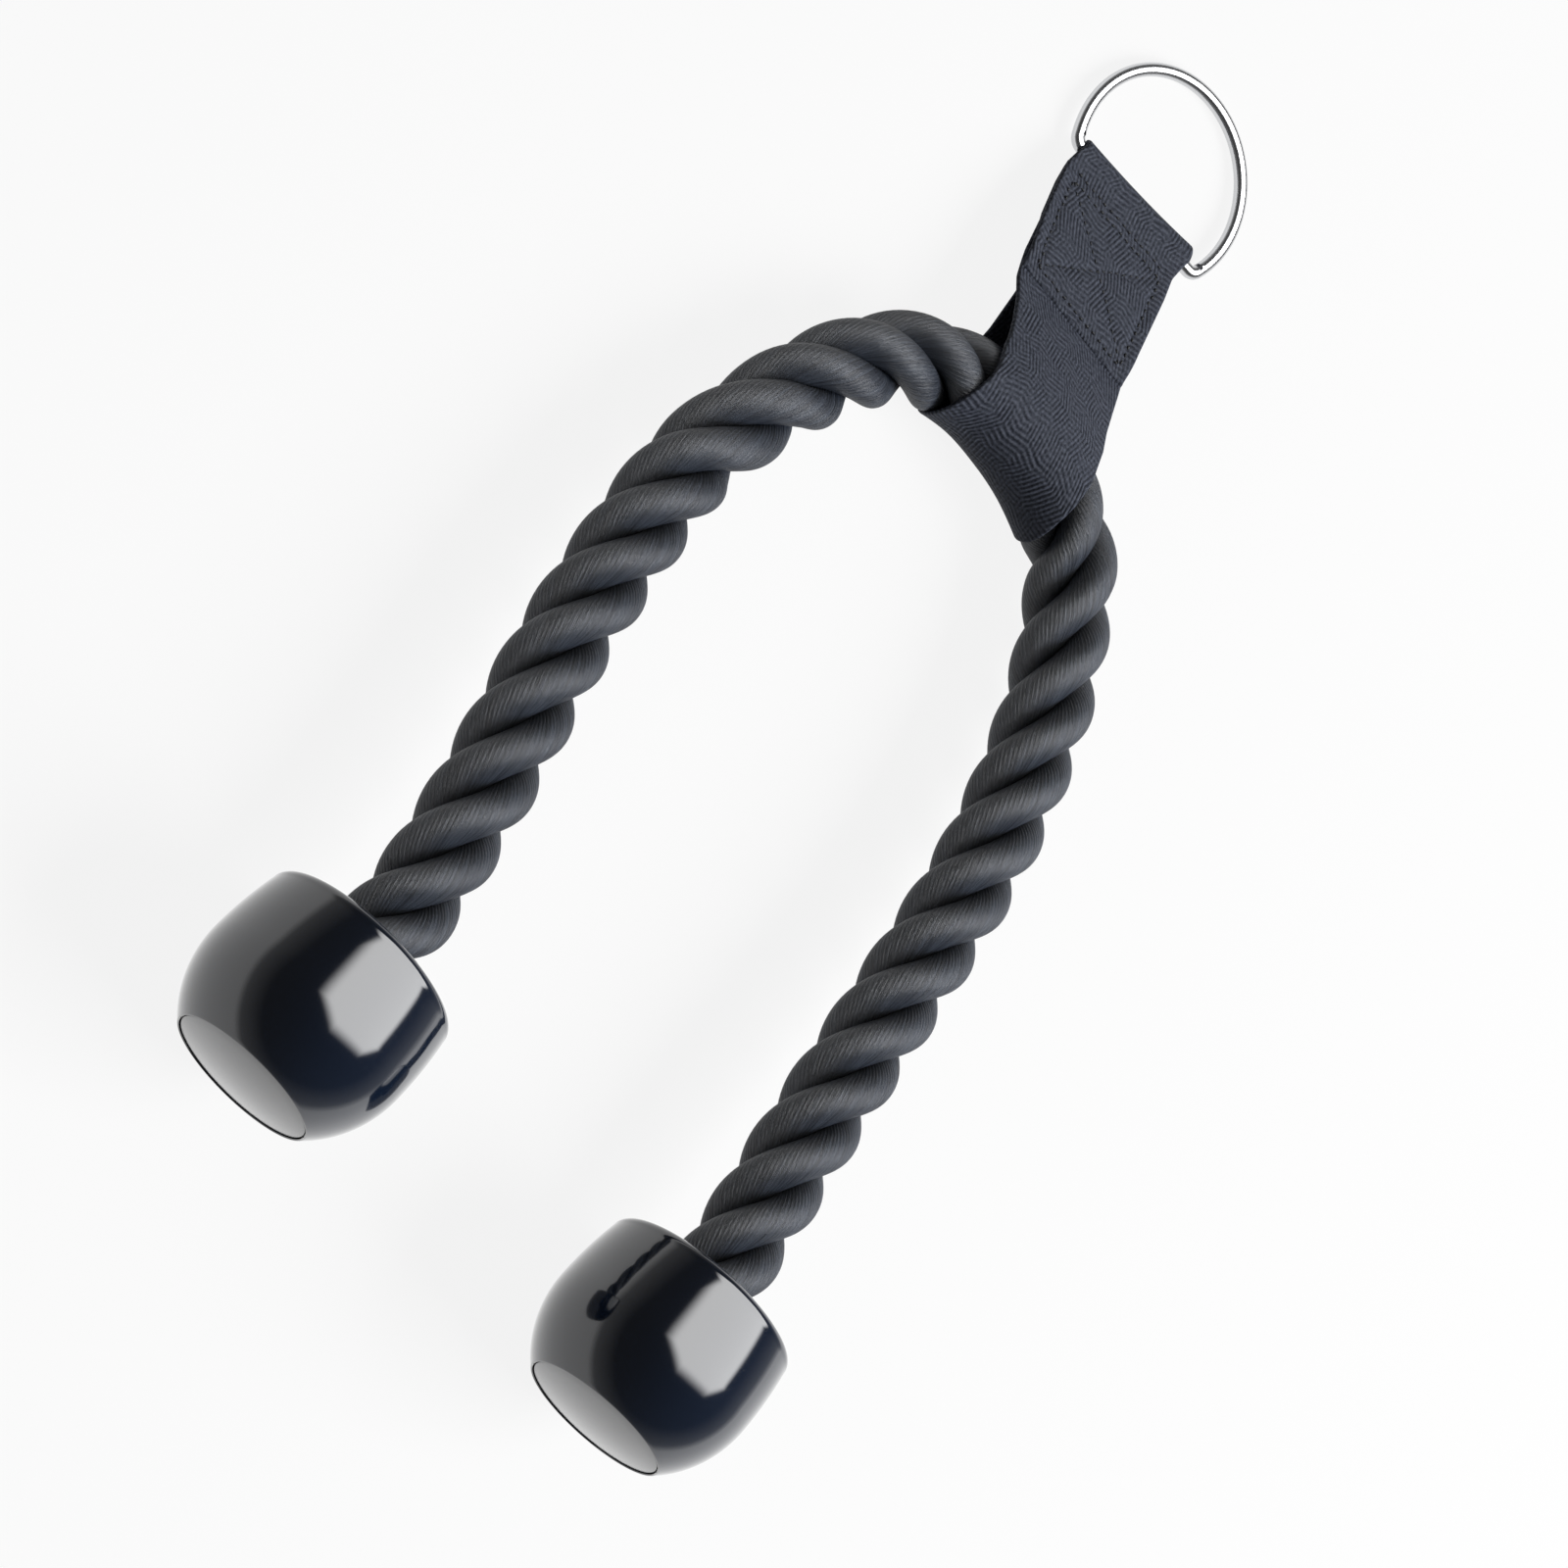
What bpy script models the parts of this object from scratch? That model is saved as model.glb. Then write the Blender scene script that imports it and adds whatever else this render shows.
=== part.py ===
"""Triceps rope attachment for a cable machine.

A three-strand rope hangs in the loop of a webbing strap, a steel D-ring in the strap's
sleeve clips to the cable, and a moulded ball stops the hand at each end of the rope.
Metres, +Z up. It lies on a floor at Z = 0, the D-ring towards +Y and the balls towards -Y.
"""
import math

import bmesh
import bpy
from mathutils import Matrix, Vector

# Fits shared by all pieces
CLEARANCE = 0.0003

# Rope
ROPE_DIAMETER = 0.026
HALF_SPAN = 0.0673         # half the distance between the balls' centres
MIDDLE_X = -0.0003         # the middle between them
LEG_REACH = 0.2628         # from the rope's apex to the right ball, along the legs
BEND_LIMIT = math.radians(58)  # sharpest angle between a leg and the rope in the strap

# Each leg's route from the strap to its ball: shares of HALF_SPAN across, of LEG_REACH
# down from the apex, and of the climb from the strap's height to the ball's.
LEFT_ROUTE_SHARES = [
    (-0.672, 0.064, 0.05),
    (-0.823, 0.136, 0.13),
    (-0.938, 0.211, 0.21),
    (-1.022, 0.29, 0.30),
    (-1.043, 0.371, 0.38),
    (-1.04, 0.455, 0.47),
    (-1.02, 0.539, 0.56),
    (-0.983, 0.618, 0.66),
    (-0.944, 0.702, 0.75),
    (-0.924, 0.775, 0.84),
    (-0.922, 0.825, 0.91),
]
RIGHT_ROUTE_SHARES = [
    (0.69, 0.076, 0.05),
    (0.795, 0.127, 0.10),
    (0.887, 0.184, 0.17),
    (0.957, 0.248, 0.24),
    (1.015, 0.326, 0.32),
    (1.045, 0.41, 0.41),
    (1.05, 0.495, 0.50),
    (1.047, 0.579, 0.60),
    (1.047, 0.663, 0.69),
    (1.05, 0.747, 0.79),
    (1.055, 0.821, 0.88),
]

# Webbing strap
WEBBING_WIDTH = 0.0455
WEBBING_THICKNESS = 0.0015
PLY_GAP = 0.00025          # air between two plies of the stitched stack
STRAP_LENGTH = 0.0821      # from the rope's axis to the D-ring's bar
STACK_LENGTH = 0.046       # of that, stitched flat
SLEEVE_LENGTH = 0.008      # from the bar to the crease that closes its sleeve
FLARE_RADIUS = 0.012       # where the stack opens into the rope's loop
APEX_X = 0.0036            # where the strap's middle crosses the rope
APEX_Y = 0.081
STRAP_LEAN = math.radians(7.6)    # the strap leans to the left of +Y
ROPE_TURN = math.radians(-4.9)    # the rope in the loop, from +X
BAR_TURN = math.radians(-0.6)     # the D-ring's bar, from +X

# D-ring of round wire, sizes to the wire's middle
WIRE_DIAMETER = 0.004
RING_ARC_RADIUS = 0.0298
RING_REACH = 0.0432        # from the bar to the far side of the arc
RING_CORNER_RADIUS = 0.0032
RING_SLIDE = 0.0015        # the ring sits this far to the right in its sleeve

# Moulded ball, measured along its axis from its widest circle
BALL_DIAMETER = 0.062
BALL_CAP_SIDE = 0.0232     # to the cap's outer face
BALL_ROPE_SIDE = 0.0212    # to the flat face that the rope enters
MOUTH_RIM_DIAMETER = 0.0588
MOUTH_FILLET = 0.0026
CAP_RIM_DIAMETER = 0.043
RIM_LAND = 0.0006          # the shell's edge round the cap
SHOULDER_DEPTH = 0.0263    # from the cap's face to the counterbore's floor
COUNTERBORE_WALL = 0.0055  # the counterbore is this much wider than the rope all round
LEFT_BALL_RISE = 0.0056    # the left ball lies this much nearer to the apex
LEFT_BALL_LEAN = math.radians(8.4)
RIGHT_BALL_LEAN = math.radians(7.2)
BALL_SLOPE = math.radians(0.7)    # the legs fall from the balls towards the strap

# Cap and the parts that hold the ball on the rope
CAP_THICKNESS = 0.003
CAP_SKIRT_LENGTH = 0.004
CAP_SKIRT_WALL = 0.002
CAP_CHAMFER = 0.0004
WASHER_THICKNESS = 0.0015
FERRULE_LENGTH = 0.013
FERRULE_WALL = 0.0018
FERRULE_GROOVE = 0.0005    # depth of the grooves that the crimping jaws press
FERRULE_GROOVES = 3
ROPE_END_STUB = 0.001      # rope beyond the ferrule

# Worked out from the above
ROPE_RADIUS = ROPE_DIAMETER / 2
WIRE_RADIUS = WIRE_DIAMETER / 2
BALL_RADIUS = BALL_DIAMETER / 2
LOOP_RADIUS = ROPE_RADIUS + CLEARANCE
SLEEVE_RADIUS = WIRE_RADIUS + CLEARANCE
ROPE_HEIGHT = LOOP_RADIUS + WEBBING_THICKNESS
BAR_HEIGHT = SLEEVE_RADIUS + WEBBING_THICKNESS
PLY_PITCH = WEBBING_THICKNESS + PLY_GAP
LOOP_END = LOOP_RADIUS + WEBBING_THICKNESS
CREASE = STRAP_LENGTH - SLEEVE_LENGTH
BORE_RADIUS = ROPE_RADIUS + CLEARANCE
COUNTERBORE_RADIUS = ROPE_RADIUS + COUNTERBORE_WALL
PIVOT_BEYOND_STRAP = (
    (ROPE_RADIUS - LOOP_RADIUS * math.cos(BEND_LIMIT)) / math.sin(BEND_LIMIT) + CLEARANCE
)
PIVOT_FROM_APEX = WEBBING_WIDTH / 2 + PIVOT_BEYOND_STRAP

# Facets
ROUND_STEPS = 48
ARC_STEP = math.radians(12)
KNUCKLE_STEPS = 5
TUBE_RESOLUTION = 4
EDGE_TRIM_SHARE = 0.12     # where a knuckle's rounded end starts, as a share of a quarter turn


def clear_scene():
    for thing in list(bpy.data.objects):
        bpy.data.objects.remove(thing, do_unlink=True)


def material(name, colour, roughness, metallic=0.0):
    made = bpy.data.materials.new(name)
    made.use_nodes = True
    shader = made.node_tree.nodes["Principled BSDF"]
    shader.inputs["Base Color"].default_value = (*colour, 1.0)
    shader.inputs["Roughness"].default_value = roughness
    shader.inputs["Metallic"].default_value = metallic
    return made


def add_object(name, data, look):
    thing = bpy.data.objects.new(name, data)
    bpy.context.collection.objects.link(thing)
    data.materials.append(look)
    return thing


def shade_round(mesh):
    mesh.shade_smooth()
    mesh.set_sharp_from_angle(angle=math.radians(35))


def turned(name, profile, look, place):
    """A piece turned about its local Z axis: profile is a closed outline of (radius, height)."""
    shape = bmesh.new()
    corners = [shape.verts.new((radius, 0, height)) for radius, height in profile]
    count = len(corners)
    edges = []
    for i in range(count):
        start, end = corners[i], corners[(i + 1) % count]
        if start.co.x > 0 or end.co.x > 0:
            edges.append(shape.edges.new((start, end)))
    bmesh.ops.spin(
        shape, geom=corners + edges, cent=(0, 0, 0), axis=(0, 0, 1),
        angle=math.tau, steps=ROUND_STEPS, use_merge=True,
    )
    bmesh.ops.remove_doubles(shape, verts=shape.verts, dist=CLEARANCE / 1000)
    bmesh.ops.recalc_face_normals(shape, faces=shape.faces)
    mesh = bpy.data.meshes.new(name)
    shape.to_mesh(mesh)
    shape.free()
    shade_round(mesh)
    made = add_object(name, mesh, look)
    made.matrix_world = place
    return made


def tube(name, points, radius, look, radii=None, closed=False):
    """A round tube along points, as a curve with a bevel and filled ends."""
    curve = bpy.data.curves.new(name, "CURVE")
    curve.dimensions = "3D"
    spline = curve.splines.new("POLY")
    spline.points.add(len(points) - 1)
    for i, point in enumerate(points):
        spline.points[i].co = (*point, 1)
        spline.points[i].radius = radii[i] / radius if radii else 1
    spline.use_cyclic_u = closed
    spline.use_smooth = True
    curve.bevel_depth = radius
    curve.bevel_resolution = TUBE_RESOLUTION
    curve.use_fill_caps = not closed
    return add_object(name, curve, look)


def belt(rounds):
    """The path of a belt over circles (x, y, radius), which it turns about to the left where
    the radius is positive and to the right where it is negative. A radius of 0 is a corner."""
    runs = []
    for (x0, y0, r0), (x1, y1, r1) in zip(rounds, rounds[1:]):
        heading = math.atan2(y1 - y0, x1 - x0) - math.asin((r1 - r0) / math.hypot(x1 - x0, y1 - y0))
        left = Vector((-math.sin(heading), math.cos(heading)))
        runs.append((heading, Vector((x0, y0)) - left * r0, Vector((x1, y1)) - left * r1))
    path = [runs[0][1]]
    for (heading, _, arrive), (heading_on, leave, _), (x, y, r) in zip(runs, runs[1:], rounds[1:-1]):
        turn = (heading_on - heading + math.pi) % math.tau - math.pi
        if r:
            turn = turn % math.tau if r > 0 else turn % math.tau - math.tau
        steps = max(1, math.ceil(abs(turn) / ARC_STEP)) if r else 0
        path.append(arrive)
        for i in range(1, steps):
            angle = heading + turn * i / steps
            path.append(Vector((x + r * math.sin(angle), y - r * math.cos(angle))))
        if steps:
            path.append(leave)
    path.append(runs[-1][2])
    return path


def smooth_path(points, spacing):
    """Evenly spaced points on a Catmull-Rom curve through points."""
    ends = [points[0] * 2 - points[1], *points, points[-1] * 2 - points[-2]]
    fine = []
    for a, b, c, d in zip(ends, ends[1:], ends[2:], ends[3:]):
        steps = max(2, math.ceil((c - b).length / spacing * 8))
        for i in range(steps):
            t = i / steps
            fine.append(
                (b * 2 + (c - a) * t + (a * 2 - b * 5 + c * 4 - d) * t ** 2
                 + (b * 3 - a - c * 3 + d) * t ** 3) / 2
            )
    fine.append(points[-1])
    lengths = [0]
    for start, end in zip(fine, fine[1:]):
        lengths.append(lengths[-1] + (end - start).length)
    count = round(lengths[-1] / spacing)
    path, at = [], 0
    for i in range(count + 1):
        wanted = lengths[-1] * i / count
        while at < len(fine) - 2 and lengths[at + 1] < wanted:
            at += 1
        share = (wanted - lengths[at]) / (lengths[at + 1] - lengths[at])
        path.append(fine[at].lerp(fine[at + 1], share))
    return path


def eased(value):
    value = min(max(value, 0), 1)
    return value * value * (3 - 2 * value)


# Where things lie

APEX = Vector((APEX_X, APEX_Y, ROPE_HEIGHT))
ROPE_LINE = Vector((math.cos(ROPE_TURN), math.sin(ROPE_TURN), 0))
STRAP_LINE = Vector((-math.sin(STRAP_LEAN), math.cos(STRAP_LEAN), 0))
BAR_LINE = Vector((math.cos(BAR_TURN), math.sin(BAR_TURN), 0))


def oval_reach(radius, distance):
    """How long an oval ball is from its widest circle, if it has this radius at a distance."""
    return distance / math.sqrt(1 - (radius / BALL_RADIUS) ** 2)


def square_to(line):
    """The level direction a quarter turn to the left of line."""
    return Vector((-line.y, line.x, 0))


def pivot(side):
    """Where a leg bends at the strap's edge: side is -1 on the left, 1 on the right."""
    return APEX + ROPE_LINE * (side * PIVOT_FROM_APEX)


def ball_place(side):
    """A ball's matrix: its origin is the middle of the widest circle, +Z points out of the cap."""
    lean = LEFT_BALL_LEAN if side < 0 else RIGHT_BALL_LEAN
    reach = LEG_REACH - (LEFT_BALL_RISE if side < 0 else 0)
    out = Vector((
        -math.sin(lean) * math.cos(BALL_SLOPE),
        -math.cos(lean) * math.cos(BALL_SLOPE),
        math.sin(BALL_SLOPE),
    ))
    rise = BALL_RADIUS * math.cos(BALL_SLOPE)
    run = oval_reach(MOUTH_RIM_DIAMETER / 2, BALL_ROPE_SIDE - MOUTH_FILLET) * math.sin(BALL_SLOPE)
    centre = Vector((MIDDLE_X + side * HALF_SPAN, APEX_Y - reach, math.hypot(rise, run)))
    return Matrix.Translation(centre) @ out.to_track_quat("Z", "Y").to_matrix().to_4x4()


def strap_middle(along, height):
    """The strap's middle at a distance along it from the rope. The loop stands square to
    the rope and the sleeve square to the bar."""
    middle = APEX + square_to(ROPE_LINE) * min(along, LOOP_END)
    middle += STRAP_LINE * (min(max(along, LOOP_END), CREASE) - LOOP_END)
    middle += square_to(BAR_LINE) * max(along - CREASE, 0)
    middle.z = height
    return middle


def strap_across(along, side):
    """From the strap's middle to its left edge, side -1, or its right edge, side 1."""
    turn = ROPE_TURN + (BAR_TURN - ROPE_TURN) * eased((along - LOOP_END) / (CREASE - LOOP_END))
    return Vector((math.cos(turn), math.sin(turn), 0)) * (side * WEBBING_WIDTH / 2)


def bar_middle():
    return strap_middle(STRAP_LENGTH, BAR_HEIGHT)


# Strap: one length of webbing, folded round the bar and round the rope and stitched flat

def webbing_path():
    """The strap's side view as (distance from the rope, height) along its middle layer.
    It starts at the upper ply's raw end, goes over the bar, back along the underside,
    round the rope and ends between the two outer plies."""
    fall = math.atan2(ROPE_HEIGHT - BAR_HEIGHT, STACK_LENGTH)
    to_bar = Vector((math.cos(fall), -math.sin(fall)))
    up = Vector((math.sin(fall), math.cos(fall)))
    bar = Vector((STRAP_LENGTH, BAR_HEIGHT))

    def at(before_bar, offset):
        return bar - to_bar * before_bar + up * offset

    half = WEBBING_THICKNESS / 2
    crease = WEBBING_THICKNESS * 2
    upper_end = at(STACK_LENGTH, PLY_PITCH)
    upper_crease = at(SLEEVE_LENGTH, PLY_PITCH + crease)
    lower_crease = at(SLEEVE_LENGTH, -PLY_PITCH - crease)
    lower_flare = at(STACK_LENGTH, -PLY_PITCH - FLARE_RADIUS)
    inner_flare = at(STACK_LENGTH, FLARE_RADIUS)
    inner_end = at(SLEEVE_LENGTH + crease, 0)
    return belt([
        (*upper_end, 0),
        (*upper_crease, crease),
        (*bar, -SLEEVE_RADIUS - half),
        (*lower_crease, crease),
        (*lower_flare, FLARE_RADIUS),
        (0, ROPE_HEIGHT, -LOOP_RADIUS - half),
        (*inner_flare, FLARE_RADIUS),
        (*inner_end, 0),
    ])


def make_strap(look):
    path = webbing_path()
    shape = bmesh.new()
    rings = []
    for i, point in enumerate(path):
        before, after = path[max(i - 1, 0)], path[min(i + 1, len(path) - 1)]
        heading = (after - before).normalized()
        out = Vector((-heading.y, heading.x)) * (WEBBING_THICKNESS / 2)
        ring = []
        for side, face in ((-1, -1), (1, -1), (1, 1), (-1, 1)):
            along, height = point + out * face
            corner = strap_middle(along, height) + strap_across(along, side)
            ring.append(shape.verts.new(corner - APEX))
        rings.append(ring)
    for ring, following in zip(rings, rings[1:]):
        for i in range(len(ring)):
            j = (i + 1) % len(ring)
            shape.faces.new((ring[i], ring[j], following[j], following[i]))
    shape.faces.new(rings[0])
    shape.faces.new(rings[-1])
    bmesh.ops.recalc_face_normals(shape, faces=shape.faces)
    mesh = bpy.data.meshes.new("webbing_strap")
    shape.to_mesh(mesh)
    shape.free()
    shade_round(mesh)
    strap = add_object("webbing_strap", mesh, look)
    strap.location = APEX
    return strap


# D-ring: one bent wire, its butt joint hidden in the sleeve

def make_ring(look):
    centre_height = RING_REACH - RING_ARC_RADIUS
    corner_x = math.sqrt(
        (RING_ARC_RADIUS - RING_CORNER_RADIUS) ** 2 - (centre_height - RING_CORNER_RADIUS) ** 2
    )
    outline = belt([
        (0, 0, 0),
        (corner_x, RING_CORNER_RADIUS, RING_CORNER_RADIUS),
        (0, centre_height, RING_ARC_RADIUS),
        (-corner_x, RING_CORNER_RADIUS, RING_CORNER_RADIUS),
        (0, 0, 0),
    ])
    drop = math.asin((BAR_HEIGHT - WIRE_RADIUS) / RING_REACH)
    place = (
        Matrix.Translation(bar_middle() + BAR_LINE * RING_SLIDE)
        @ Matrix.Rotation(BAR_TURN, 4, "Z")
        @ Matrix.Rotation(-drop, 4, "X")
    )
    ring = tube("d_ring", [(x, y, 0) for x, y in outline[:-1]], WIRE_RADIUS, look, closed=True)
    ring.matrix_world = place
    return ring


# Rope: one piece in real life, here parted at the strap's two edges, where it bends

def make_rope_centre(look):
    cup = ROPE_RADIUS + CLEARANCE
    lip = BEND_LIMIT - math.acos(ROPE_RADIUS / cup)
    end = PIVOT_FROM_APEX - cup * math.sin(lip)
    hollow = []
    for i in range(KNUCKLE_STEPS + 1):
        angle = (math.pi / 2 - lip) * (1 - i / KNUCKLE_STEPS)
        hollow.append((cup * math.sin(angle), PIVOT_FROM_APEX - cup * math.cos(angle)))
    profile = [(ROPE_RADIUS, -end), (ROPE_RADIUS, end), *hollow]
    profile += [(radius, -height) for radius, height in reversed(hollow)]
    place = (
        Matrix.Translation(APEX)
        @ Matrix.Rotation(ROPE_TURN, 4, "Z")
        @ Matrix.Rotation(math.pi / 2, 4, "Y")
    )
    return turned("rope_centre", profile, look, place)


def leg_points(side):
    """The leg's centreline, from the strap's edge to the end of the rope inside the ball."""
    shares = LEFT_ROUTE_SHARES if side < 0 else RIGHT_ROUTE_SHARES
    climb = BALL_RADIUS - ROPE_HEIGHT
    route = [pivot(side)]
    for across, down, rise in shares:
        route.append(Vector((
            MIDDLE_X + across * HALF_SPAN, APEX_Y - down * LEG_REACH, ROPE_HEIGHT + rise * climb,
        )))
    place = ball_place(side)
    route.append(place @ Vector((0, 0, -BALL_ROPE_SIDE - ROPE_RADIUS / 2)))
    rope_end = BALL_CAP_SIDE - SHOULDER_DEPTH + WASHER_THICKNESS + FERRULE_LENGTH
    rope_end += CLEARANCE * 2 + ROPE_END_STUB
    return smooth_path(route, ROPE_RADIUS), place @ Vector((0, 0, rope_end))


def make_rope_leg(name, side, look):
    """A leg with a round knuckle that turns in the cup of the piece in the strap."""
    path, end = leg_points(side)
    back = (path[0] - path[1]).normalized()
    knuckle, radii = [], []
    for i in range(KNUCKLE_STEPS):
        angle = math.pi / 2 * (EDGE_TRIM_SHARE + (1 - EDGE_TRIM_SHARE) * i / KNUCKLE_STEPS)
        knuckle.append(path[0] + back * (ROPE_RADIUS * math.cos(angle)))
        radii.append(ROPE_RADIUS * math.sin(angle))
    points = [point - path[0] for point in knuckle + path + [end]]
    radii += [ROPE_RADIUS] * (len(path) + 1)
    leg = tube(name, points, ROPE_RADIUS, look, radii=radii)
    leg.location = path[0]
    return leg


# Balls: a moulded shell, its snapped-in cap, and what stops it from pulling off the rope

def oval_arc(radius, distance, steps):
    """Points on a quarter oval, from the ball's widest circle to a smaller one."""
    reach = oval_reach(radius, distance)
    last = math.asin(distance / reach)
    return [
        (BALL_RADIUS * math.cos(last * i / steps), reach * math.sin(last * i / steps))
        for i in range(steps + 1)
    ]


def make_ball_shell(name, side, look):
    mouth_rim = MOUTH_RIM_DIAMETER / 2
    fillet_height = BALL_ROPE_SIDE - MOUTH_FILLET
    cap_rim = CAP_RIM_DIAMETER / 2
    seat_radius = cap_rim - RIM_LAND
    seat = BALL_CAP_SIDE - CAP_THICKNESS - CLEARANCE
    shoulder = BALL_CAP_SIDE - SHOULDER_DEPTH
    profile = [(r, -h) for r, h in reversed(oval_arc(mouth_rim, fillet_height, 5))]
    profile += oval_arc(cap_rim, BALL_CAP_SIDE, 9)[1:]
    profile += [
        (seat_radius, BALL_CAP_SIDE),
        (seat_radius, seat),
        (COUNTERBORE_RADIUS, seat),
        (COUNTERBORE_RADIUS, shoulder),
        (BORE_RADIUS, shoulder),
        (BORE_RADIUS, -BALL_ROPE_SIDE),
    ]
    for i in range(4):
        angle = math.pi / 2 * i / 4
        profile.append((
            mouth_rim - MOUTH_FILLET + MOUTH_FILLET * math.sin(angle),
            -fillet_height - MOUTH_FILLET * math.cos(angle),
        ))
    return turned(name, profile, look, ball_place(side))


def make_cap(name, side, look):
    radius = CAP_RIM_DIAMETER / 2 - RIM_LAND - CLEARANCE
    skirt = COUNTERBORE_RADIUS - CLEARANCE
    back = BALL_CAP_SIDE - CAP_THICKNESS
    profile = [
        (0, BALL_CAP_SIDE),
        (0, back),
        (skirt - CAP_SKIRT_WALL, back),
        (skirt - CAP_SKIRT_WALL, back - CAP_SKIRT_LENGTH),
        (skirt, back - CAP_SKIRT_LENGTH),
        (skirt, back),
        (radius, back),
        (radius, BALL_CAP_SIDE - CAP_CHAMFER),
        (radius - CAP_CHAMFER, BALL_CAP_SIDE),
    ]
    return turned(name, profile, look, ball_place(side))


def make_washer(name, side, look):
    low = BALL_CAP_SIDE - SHOULDER_DEPTH + CLEARANCE
    high = low + WASHER_THICKNESS
    inner, outer = BORE_RADIUS, COUNTERBORE_RADIUS - CLEARANCE
    profile = [(inner, low), (outer, low), (outer, high), (inner, high)]
    return turned(name, profile, look, ball_place(side))


def make_ferrule(name, side, look):
    """The crimped collar: jaws have pressed rings of grooves round it to bite the rope."""
    low = BALL_CAP_SIDE - SHOULDER_DEPTH + CLEARANCE * 2 + WASHER_THICKNESS
    inner, outer = ROPE_RADIUS + CLEARANCE, ROPE_RADIUS + CLEARANCE + FERRULE_WALL
    pitch = FERRULE_LENGTH / (FERRULE_GROOVES * 2 + 1)
    profile = [(inner, low + FERRULE_LENGTH), (inner, low), (outer, low)]
    for i in range(FERRULE_GROOVES):
        start = low + pitch * (i * 2 + 1)
        slope = FERRULE_GROOVE
        profile += [
            (outer, start),
            (outer - FERRULE_GROOVE, start + slope),
            (outer - FERRULE_GROOVE, start + pitch - slope),
            (outer, start + pitch),
        ]
    profile.append((outer, low + FERRULE_LENGTH))
    return turned(name, profile, look, ball_place(side))


clear_scene()
black_rope = material("black_polypropylene_rope", (0.020, 0.022, 0.026), 0.6)
grey_webbing = material("charcoal_nylon_webbing", (0.035, 0.038, 0.048), 0.75)
bright_steel = material("chrome_plated_wire", (0.80, 0.80, 0.82), 0.12, 1.0)
black_plastic = material("gloss_black_plastic", (0.006, 0.008, 0.011), 0.15)
zinc_steel = material("zinc_plated_steel", (0.55, 0.56, 0.58), 0.35, 1.0)

make_ring(bright_steel)
make_strap(grey_webbing)
make_rope_centre(black_rope)
for label, hand in (("left", -1), ("right", 1)):
    make_rope_leg(f"rope_{label}_leg", hand, black_rope)
    make_ball_shell(f"{label}_ball_shell", hand, black_plastic)
    make_cap(f"{label}_end_cap", hand, black_plastic)
    make_washer(f"{label}_retaining_washer", hand, zinc_steel)
    make_ferrule(f"{label}_crimp_ferrule", hand, zinc_steel)
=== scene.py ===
import math

import bpy
import numpy as np
from mathutils import Matrix, Vector


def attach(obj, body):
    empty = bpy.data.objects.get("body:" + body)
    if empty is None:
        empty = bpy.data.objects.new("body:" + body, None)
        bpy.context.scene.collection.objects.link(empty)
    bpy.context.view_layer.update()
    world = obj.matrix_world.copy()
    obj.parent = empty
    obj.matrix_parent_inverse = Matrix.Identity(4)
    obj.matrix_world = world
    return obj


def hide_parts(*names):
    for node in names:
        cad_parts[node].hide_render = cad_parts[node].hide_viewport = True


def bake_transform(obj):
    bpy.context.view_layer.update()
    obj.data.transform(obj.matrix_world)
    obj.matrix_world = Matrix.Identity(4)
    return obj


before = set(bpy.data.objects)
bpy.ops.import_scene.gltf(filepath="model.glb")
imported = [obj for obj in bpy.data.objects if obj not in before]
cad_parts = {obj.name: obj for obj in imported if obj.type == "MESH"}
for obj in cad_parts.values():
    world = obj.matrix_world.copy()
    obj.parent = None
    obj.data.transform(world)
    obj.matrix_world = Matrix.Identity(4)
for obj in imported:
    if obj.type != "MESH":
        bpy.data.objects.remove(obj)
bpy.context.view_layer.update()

# Camera.
# The rope was photographed lying on a white table, from about 58 degrees above it, and the
# picture was then turned a quarter turn, so the table's up is towards the right of the frame.
PHOTO_PIXELS = 1600
FOCAL_PIXELS = 4550
SENSOR_MM = 36.0
camera_data = bpy.data.cameras.new("camera")
camera_data.sensor_width = SENSOR_MM
camera_data.lens = SENSOR_MM * FOCAL_PIXELS / PHOTO_PIXELS
camera_data.clip_start = 0.05
camera_data.clip_end = 50.0
camera = bpy.data.objects.new("camera", camera_data)
bpy.context.collection.objects.link(camera)
camera.matrix_world = Matrix((
    (0.642614, -0.640642, -0.420268, -0.48880),
    (0.555152, 0.767361, -0.320879, -0.41950),
    (0.528066, -0.027111, 0.848770, 1.02190),
    (0, 0, 0, 1),
))
bpy.context.scene.camera = camera


# Rope.
# Three strands of black multifilament polypropylene laid up right-handed into a rope 26 mm
# thick, hung by its middle in the strap. Each strand is twisted the other way from 36 outer
# yarns, so its yarns run along the rope. Each end goes into a ball, to a ferrule inside it.
ROPE_DIAMETER = 0.026
STRANDS = 3
LAY_LENGTH = 0.060
STRAND_DEPTH = 0.0059       # half a strand's depth, towards the rope's axis
STRAND_BREADTH = 0.0070     # half its breadth, round the rope
STRAND_OUT = ROPE_DIAMETER / 2 - STRAND_DEPTH
STRAND_TURNS = 2.0          # turns of a strand about itself for each turn of the lay
YARNS = 36
COLUMNS_PER_YARN = 3
YARN_HEIGHT = 0.00022
YARN_CROWN = 0.6            # the power that makes the yarns' ridges blunt
RING_SPACING = 0.0009
ROUTE_STEPS = 60            # points on the curve from one point of the route to the next
MM = 1000                   # millimetres in a metre
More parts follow.
